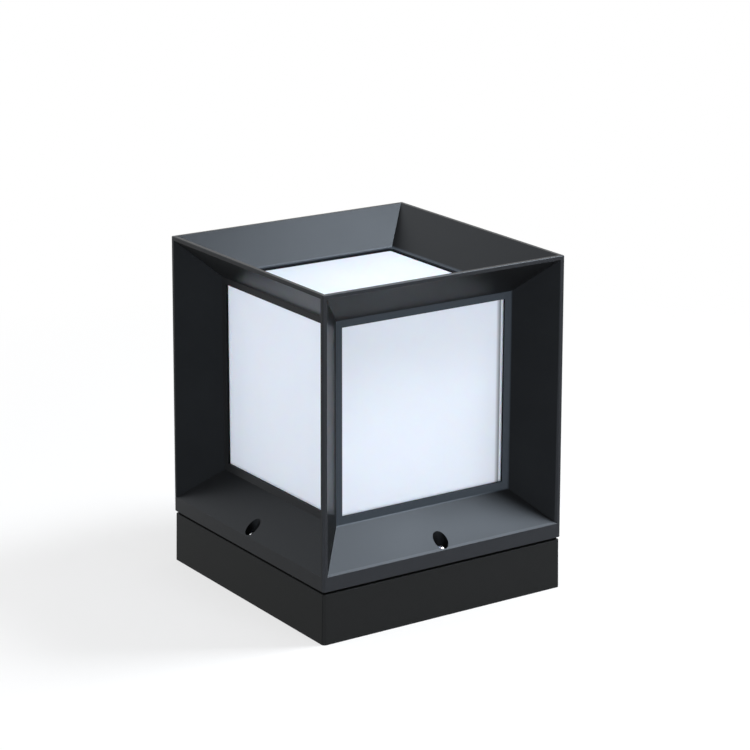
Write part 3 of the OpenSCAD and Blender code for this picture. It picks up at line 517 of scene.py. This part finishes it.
def make_screw_tree():
    sizes = [
        "Shank Radius", "Shank Length", "Head Radius", "Head Height", "Thread Pitch",
        "Dome", "Edge", "Slot Length", "Cross Length", "Tilt",
    ]
    kinds = {label: "NodeSocketFloat" for label in sizes}
    tree = Growth("machine screws", {**kinds, "Seed": "NodeSocketInt", "Metal": "NodeSocketMaterial"})
    shank_r, shank_l, head_r, head_h, pitch = [tree.given(label) for label in sizes[:5]]

    def moved(shape, **inputs):
        return tree.node("GeometryNodeTransform", {}, {"Geometry": shape, **inputs})

    def cylinder(sides, rings, radius, depth):
        inputs = {"Vertices": sides, "Fill Segments": rings, "Radius": radius, "Depth": depth}
        return tree.node("GeometryNodeMeshCylinder", {}, {"Side Segments": 1, **inputs}, "Mesh")

    x, y, z = tree.axes(tree.node("GeometryNodeInputPosition", {}, {}))
    from_axis = (x * x + y * y) ** 0.5
    head = moved(cylinder(40, 7, head_r, head_h), Translation=tree.vector(z=head_h / 2))
    drop = (from_axis / head_r) ** tree.given("Edge") * tree.given("Dome") * head_h * -1
    top = z.math("GREATER_THAN", head_h / 2)
    domed = {"Geometry": head, "Selection": top, "Offset": tree.vector(z=drop)}
    head = tree.node("GeometryNodeSetPosition", {}, domed)
    for turn, label in ((0.0, "Slot Length"), (TURN / 4, "Cross Length")):
        size = tree.vector(head_r * tree.given(label), head_r * 0.26, head_h * 0.9)
        bar = tree.node("GeometryNodeMeshCube", {}, {"Size": size}, "Mesh")
        bar = moved(bar, Translation=tree.vector(z=head_h), Rotation=(0, 0, turn))
        cut = {"operation": "DIFFERENCE", "solver": "EXACT"}
        head = tree.node("GeometryNodeMeshBoolean", cut, {"Mesh 1": head, "Mesh 2": bar})
    depth = pitch * 0.42
    core_r = shank_r - depth
    core = cylinder(24, 1, core_r, shank_l + 0.3 * MM)
    core = moved(core, Translation=tree.vector(z=shank_l * -0.5 + 0.15 * MM))
    turns = shank_l / pitch - 1.6
    spiral = tree.node("GeometryNodeCurveSpiral", {}, {
        "Resolution": 20, "Rotations": turns, "Height": turns * pitch,
        "Start Radius": core_r, "End Radius": core_r,
    })
    upright = tree.node("GeometryNodeSetCurveNormal", {"mode": "Z_UP"}, {"Curve": spiral})
    profile = tree.node("GeometryNodeCurvePrimitiveCircle", {}, {"Resolution": 4, "Radius": depth}, "Curve")
    thread = {"Curve": upright, "Profile Curve": profile, "Fill Caps": True}
    ridge = tree.node("GeometryNodeCurveToMesh", {}, thread)
    ridge = moved(ridge, Translation=tree.vector(z=pitch * 0.6 - shank_l))
    screw = tree.node("GeometryNodeJoinGeometry", {}, {"Geometry": [head, core, ridge]})
    screw = tree.node(
        "GeometryNodeStoreNamedAttribute", {"data_type": "FLOAT", "domain": "POINT"},
        {"Geometry": screw, "Name": "ring", "Value": from_axis},
    )
    screw = moved(screw, Rotation=tree.vector(tree.given("Tilt")))
    chance = {2: 0.0, 3: TURN / 4, "Seed": tree.given("Seed")}
    spin = tree.vector(z=tree.node("FunctionNodeRandomValue", {"data_type": "FLOAT"}, chance, 1))
    placed = {"Points": tree.given("Geometry"), "Instance": screw, "Rotation": spin}
    placed = tree.node("GeometryNodeInstanceOnPoints", {}, placed)
    whole = tree.node("GeometryNodeRealizeInstances", {}, {"Geometry": placed})
    coated = {"Geometry": whole, "Material": tree.given("Metal")}
    tree.finished(tree.node("GeometryNodeSetMaterial", {}, coated))
    return tree


screw_tree = make_screw_tree()


def screws(node, body, metal, pattern, shank, head, pitch, seed,
           head_down=False, dome=0.55, edge=5.0, slot=1.1, cross=1.1):
    """A set of equal screws on the CAD's axes; shank and head are (radius, length) in millimetres.

    pattern gives each screw's place as shares of the way from the set's middle to its outer axes.
    """
    low, high = span(node)
    middle = [(low[i] + high[i]) / 2 for i in (0, 1)]
    way = [(high[i] - low[i]) / 2 - head[0] for i in (0, 1)]
    seat = high[2] - shank[1] if head_down else low[2] + shank[1]
    places = [[(middle[i] + share[i] * way[i]) * MM for i in (0, 1)] + [seat * MM] for share in pattern]
    mesh = screw_tree.grown(places, {
        "Shank Radius": shank[0] * MM, "Shank Length": shank[1] * MM,
        "Head Radius": head[0] * MM, "Head Height": head[1] * MM, "Thread Pitch": pitch * MM,
        "Dome": dome, "Edge": edge, "Slot Length": slot, "Cross Length": cross,
        "Tilt": TURN / 2 if head_down else 0.0, "Seed": seed, "Metal": metal,
    })
    smooth_piece(mesh, metal, body, node)


# Leads

def lead(node, skin, route):
    """A round insulated lead along its route, in millimetres, with its own 'lead' UV map."""
    radius, sides, steps = 1.2 * MM, 16, 8
    points = [Vector(p) * MM for p in route]
    line = []
    for i in range(len(points) - 1):
        a, b, c, d = points[max(i - 1, 0)], points[i], points[i + 1], points[min(i + 2, len(points) - 1)]
        for s in range(steps):
            t = s / steps
            line.append(0.5 * (2 * b + (c - a) * t + (2 * a - 5 * b + 4 * c - d) * t * t
                               + (3 * b - 3 * c + d - a) * t ** 3))
    line.append(points[-1])
    shell = bmesh.new()
    uv = shell.loops.layers.uv.new("lead")
    rings = []
    up = Vector((0, 0, 1))
    travelled = [0.0]
    for i, centre in enumerate(line):
        along = (line[min(i + 1, len(line) - 1)] - line[max(i - 1, 0)]).normalized()
        up = (up - along * up.dot(along)).normalized()
        side = along.cross(up)
        spokes = [on_circle(radius, k / sides, 0) for k in range(sides)]
        rings.append([shell.verts.new(centre + up * u + side * v) for u, v, _ in spokes])
        travelled.append(travelled[-1] + (line[min(i + 1, len(line) - 1)] - centre).length)
    for i in range(len(rings) - 1):
        for k in range(sides):
            j = (k + 1) % sides
            face = shell.faces.new((rings[i][k], rings[i + 1][k], rings[i + 1][j], rings[i][j]))
            spots = ((k, i), (k, i + 1), (k + 1, i + 1), (k + 1, i))
            for loop, (around, row) in zip(face.loops, spots):
                loop[uv].uv = (around / sides, travelled[row])
    shell.faces.new(rings[0])
    shell.faces.new(reversed(rings[-1]))
    smooth_piece(plain_mesh(shell, node), skin, "base", node, 50)


# Castings and diffuser, which the photograph shows

softened("cube_frame", black_coat, "frame", 0.5 * MM)
softened("base_housing", base_coat, "base", 0.5 * MM)
softened("joint_gasket", foam_rubber, "base", 0.35 * MM)
softened("diffuser", opal_sheet, "frame", 0.5 * MM)
softened("diffuser_gasket", pale_silicone, "frame", 0.25 * MM, 1)
softened("diffuser_retainer", zinc_sheet, "frame", 0.25 * MM, 1)
softened("frame_washers", bright_steel, "frame", 0.15 * MM, 1)

# Pieces inside the base

softened("gland_body", black_nylon, "base", 0.3 * MM, 1)
softened("gland_washer", black_rubber, "base", 0.2 * MM, 1)
softened("gland_seal", black_rubber, "base", 0.3 * MM, 1)
softened("gland_cap", black_nylon, "base", 0.4 * MM)
softened("gland_locknut", black_nylon, "base", 0.4 * MM)
softened("holder_bracket", zinc_sheet, "base", 0.45 * MM)
softened("holder_body", porcelain, "base", 0.7 * MM, 3)
softened("holder_terminals", brass, "base", 0.3 * MM, 1)
softened("terminal_block", block_plastic, "base", 0.25 * MM, 1)
softened("terminal_clamps", brass, "base", 0.25 * MM, 1)
softened("earth_tag", tinned, "base", 0.15 * MM, 1)
softened("earth_washer", tinned, "base", 0.1 * MM, 1)

lead("live_lead", brown_skin, [
    (49, 10, 19), (43, 10, 19), (38, 10, 19), (30, 9, 22), (24, 6, 29), (18, 3, 34.5), (13, 0.5, 39),
    (11, 0, 42), (11, 0, 45.5), (11, 0, 48.5),
])
lead("neutral_lead", blue_skin, [
    (49, 0, 19), (43, 0, 19), (38, 0, 19), (30, -7, 22), (19, -16, 30), (5, -20, 35), (-6, -15, 37),
    (-11, -6, 38.5), (-11.5, -1.5, 40), (-11, 0, 42.5), (-11, 0, 45.5), (-11, 0, 48.5),
])
lead("earth_lead", earth_skin, [
    (49, -10, 19), (43, -10, 19), (38, -10, 19), (30, -15, 19), (24, -24, 18), (22, -32, 16.5),
    (24, -37, 15.5), (29, -38, 15.2), (33, -38, 15.2), (37, -38, 15.2),
])

# Lampholder's socket and the lamp

CAP_PITCH = 3.63
SOCKET_R = 13.2
CAP_R = 13.1
CAP_BORE_R = 11.85
NECK_R = 13.5


def foot_and_height(node):
    low, high = span(node)
    return low[2], high[2] - low[2]


SOCKET_HEIGHT = foot_and_height("holder_shell")[1]
CAP_HEIGHT = foot_and_height("lamp_cap")[1]


def threaded(node, material, body, inner, outer):
    """A threaded sleeve; inner and outer give its radius for an angle in turns and a height share."""
    foot, height = foot_and_height(node)
    smooth_piece(tube_wall(inner, outer, foot * MM, (foot + height) * MM, 84), material, body, node)


def turned(node, material, body, profile, sides=64):
    """A piece turned to a profile of (radius, height above its foot) in millimetres."""
    foot, height = foot_and_height(node)
    smooth_piece(lathe([(r * MM, (foot + h) * MM) for r, h in profile], sides), material, body, node)


def socket_inner(turn, share):
    return (SOCKET_R + 0.25 * thread_wave(turn, share * SOCKET_HEIGHT, CAP_PITCH)) * MM


def socket_outer(turn, share):
    return socket_inner(turn, share) + 0.34 * MM


def cap_inner(turn, share):
    return CAP_BORE_R * MM


def cap_outer(turn, share):
    fade = max(0, min(1, share / 0.06, (1 - share) / 0.16))
    return (CAP_R - 0.85 * fade * (1 - thread_wave(turn, share * CAP_HEIGHT, CAP_PITCH))) * MM


def lamp_body_profile():
    """From the cap's rim out in a smooth bell to the seam below the dome."""
    height = foot_and_height("lamp_body")[1]
    rim_r = span("lamp_body")[1][0]
    profile = [(0, 0), (NECK_R - 0.5, 0), (NECK_R - 0.1, 0.3)]
    for i in range(1, 36):
        share = i / 36
        swell = (1 - math.cos(math.pi * share ** 0.85)) / 2
        profile.append((NECK_R + (rim_r - NECK_R) * swell, height * share))
    return profile + [(rim_r - 0.05, height - 0.3), (rim_r - 0.4, height), (0, height)]


def lamp_dome_profile():
    """A slight bulge above the seam, closed by an ellipse."""
    height = foot_and_height("lamp_dome")[1]
    radius = span("lamp_dome")[1][0]
    seam, bulge = 1.1, height * 0.36
    profile = [(0, 0), (radius - 1.4, 0), (radius - 0.9, 0.4), (radius - 0.6, seam)]
    for i in range(1, 9):
        profile.append((radius - 0.6 + 0.6 * math.sin(TURN / 4 * i / 8), seam + (bulge - seam) * i / 8))
    for i in range(1, 28):
        climb = TURN / 4 * i / 28
        profile.append((radius * math.cos(climb), bulge + (height - bulge) * math.sin(climb)))
    return profile + [(0, height)]


threaded("holder_shell", brass, "base", socket_inner, socket_outer)
turned("holder_contact", brass, "base", [
    (0, 0), (5.5, 0), (5.5, 0.8), (5.1, 1.3), (3.8, 2.2), (3.2, 2.5), (0, 2.5),
], 48)
threaded("lamp_cap", nickelled, "lamp", cap_inner, cap_outer)
turned("lamp_insulator", black_glass, "lamp", [
    (0, 0), (5, 0), (5.6, 0.2), (8.8, 1.9), (12, 3.7), (12.3, 4), (11.8, 4.1), (11.8, 7), (0, 7),
])
turned("lamp_tip", tinned, "lamp", [(0, 0), (1.8, 0), (3, 0.3), (4.5, 1), (4.8, 1.5), (0, 1.5)], 40)
turned("lamp_body", lamp_plastic, "lamp", lamp_body_profile(), 96)
turned("lamp_dome", opal_dome, "lamp", lamp_dome_profile(), 96)

# Screws

QUARTERS = [(1, 0), (0, 1), (-1, 0), (0, -1)]
CORNERS = [(-1, -1), (-1, 1), (1, -1), (1, 1)]
PAIR = [(0, -1), (0, 1)]
TWO_BY_THREE = [(x, y) for y in (-1, 0, 1) for x in (-1, 1)]

screws("frame_screws", "frame", bright_steel, QUARTERS, (2.5, 26), (4.75, 5.6), 0.8, 3,
       dome=0.62, edge=2.2, slot=0.9, cross=0.9)
screws("retainer_screws", "frame", zinc_steel, CORNERS, (1.5, 8), (3, 1.95), 0.5, 4, head_down=True)
screws("bracket_screws", "base", zinc_steel, PAIR, (2, 6), (3.6, 2.4), 0.7, 5)
screws("holder_screws", "base", zinc_steel, PAIR, (2, 9.5), (3.6, 2.4), 0.7, 6, head_down=True)
screws("block_screws", "base", zinc_steel, PAIR, (1.5, 22), (2.625, 2), 0.5, 7)
screws("terminal_screws", "base", zinc_steel, TWO_BY_THREE, (1.5, 4), (1.5, 1), 0.5, 8,
       dome=0.1, slot=2.2, cross=0.3)
screws("earth_screw", "base", brass_turned, [(0, 0)], (2, 8), (3.6, 2.4), 0.7, 9)


# Floor and lights

def seen_white(tree, own, share):
    """own, with white mixed in by share where a camera, mirror or glass ray looks."""
    rays = ("Is Camera Ray", "Is Glossy Ray", "Is Transmission Ray")
    camera_ray, glossy_ray, glass_ray = [tree.node("ShaderNodeLightPath", {}, {}, ray) for ray in rays]
    looked_at = camera_ray.math("MAXIMUM", glossy_ray).math("MAXIMUM", glass_ray)
    white = tree.node("ShaderNodeEmission", {}, {"Color": (1, 1, 1, 1), "Strength": 1.0})
    return tree.node("ShaderNodeMixShader", {}, {0: looked_at * share, 1: own, 2: white})


def make_floor():
    half = 8.0
    mesh = bpy.data.meshes.new("floor")
    corners = [(-half, -half, 0), (half, -half, 0), (half, half, 0), (-half, half, 0)]
    mesh.from_pydata(corners, [], [(0, 1, 2, 3)])
    floor = bpy.data.objects.new("floor", mesh)
    bpy.context.collection.objects.link(floor)
    ground = Finish("pale floor", (0.92, 0.92, 0.92), 0.9, Specular_IOR_Level=0.0)
    away = ground.node("ShaderNodeVectorMath", {"operation": "LENGTH"}, {0: ground.place()}, "Value")
    share = away.band(0.22, 0.8) * 0.35 + 0.65
    mixed = seen_white(ground, Value(ground, ground.shader.outputs[0]), share)
    ground.links.new(mixed.socket, ground.nodes["Material Output"].inputs["Surface"])
    mesh.materials.append(ground.material)


class Sky(Tree):
    """The world's node tree: plain white at a low level."""

    def __init__(self, world):
        self.nodes, self.links = world.node_tree.nodes, world.node_tree.links
        background = self.nodes["Background"]
        background.inputs["Color"].default_value = (1, 1, 1, 1)
        background.inputs["Strength"].default_value = 0.4
        mixed = seen_white(self, Value(self, background.outputs[0]), 1.0)
        self.links.new(mixed.socket, self.nodes["World Output"].inputs["Surface"])


def area_light(name, place, target, size, power, color=(0.93, 0.96, 1.0)):
    data = bpy.data.lights.new(name, "AREA")
    data.shape = "RECTANGLE"
    data.size, data.size_y = size
    data.energy = power
    data.color = color
    light = bpy.data.objects.new(name, data)
    light.location = place
    light.rotation_euler = (Vector(target) - Vector(place)).to_track_quat("-Z", "Y").to_euler()
    bpy.context.collection.objects.link(light)


make_floor()
area_light("overhead", (0.83, -0.40, 1.36), (0, 0, 0.12), (0.46, 0.46), 24, (0.92, 0.96, 1.0))
area_light("front", (0.3, -2.2, 0.7), (0, 0, 0.12), (1.2, 1.0), 10.5)
area_light("left", (-2.2, 0.1, 0.8), (0, 0, 0.12), (1.2, 1.0), 18.5)
area_light("back", (-0.55, 1.9, 1.45), (0, 0, 0.15), (1.4, 1.0), 4.5)

world = bpy.data.worlds.new("studio")
bpy.context.scene.world = world
world.use_nodes = True
Sky(world)
